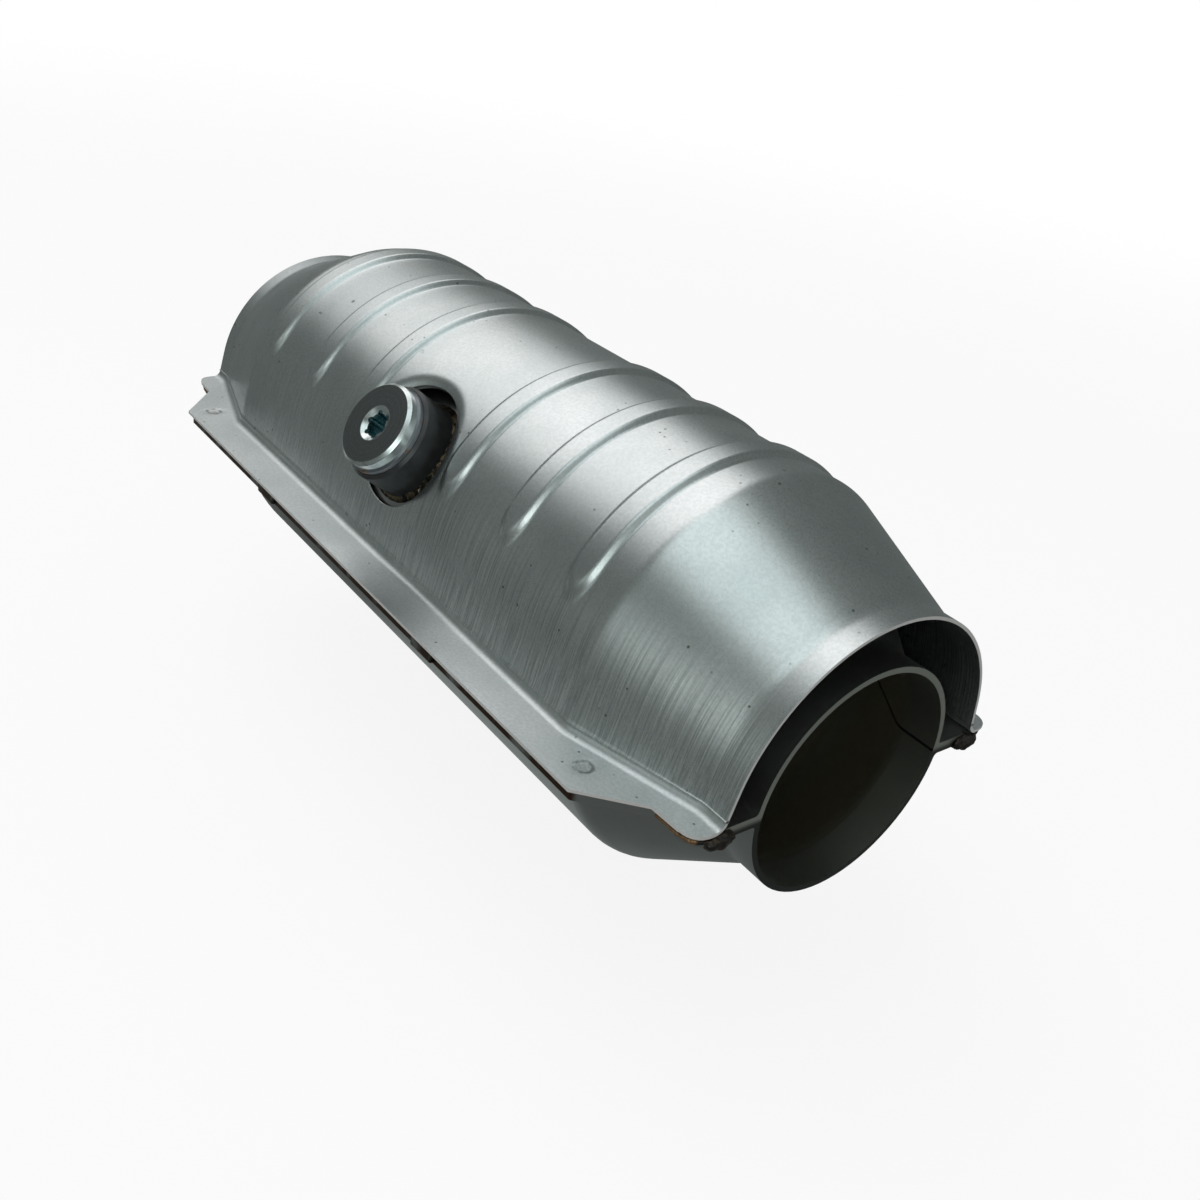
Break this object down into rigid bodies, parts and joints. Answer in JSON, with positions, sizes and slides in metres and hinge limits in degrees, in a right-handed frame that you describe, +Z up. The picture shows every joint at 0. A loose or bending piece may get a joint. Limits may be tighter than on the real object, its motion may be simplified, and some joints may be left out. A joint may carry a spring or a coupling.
{
  "type": "catalytic converter",
  "caption": "Clamshell catalytic converter with plain pipe necks, a ribbed heat shield over the upper shell and a plugged sensor port in its side.",
  "frame": {"origin": "centre of the inlet mouth, on the pipe axis and in the seam plane", "axes": "+X along the pipe axis to the outlet, +Z up to the heat shield, the sensor port is on the -Y side"},
  "size_m": [0.2662, 0.1252, 0.1081],
  "materials": {
    "shield": "satin, faint rolling grain",
    "shell": "satin, slightly dulled",
    "bung": "dark mill scale",
    "bung_weld": "rough, straw and brown tint",
    "seam_weld": "rough, dark, heat tinted",
    "gasket": "satin",
    "plug": "turned, bright edges",
    "brick": "matte, fine cells",
    "mat": "matte felt",
    "mesh": "knitted wire"
  },
  "bodies": {
    "root": {"inlet_left_weld": "seam_weld", "inlet_right_weld": "seam_weld", "outlet_left_weld": "seam_weld", "outlet_right_weld": "seam_weld", "front_brick": "brick", "rear_brick": "brick", "front_mat": "mat", "rear_mat": "mat", "front_mat_inlet_seal": "mesh", "front_mat_outlet_seal": "mesh", "rear_mat_inlet_seal": "mesh", "rear_mat_outlet_seal": "mesh", "sensor_bung": "bung", "bung_weld": "bung_weld", "plug_gasket": "gasket", "bung_plug": "plug", "upper_shell": "shell", "lower_shell": "shell", "heat_shield": "shield"}
  },
  "joints": []
}
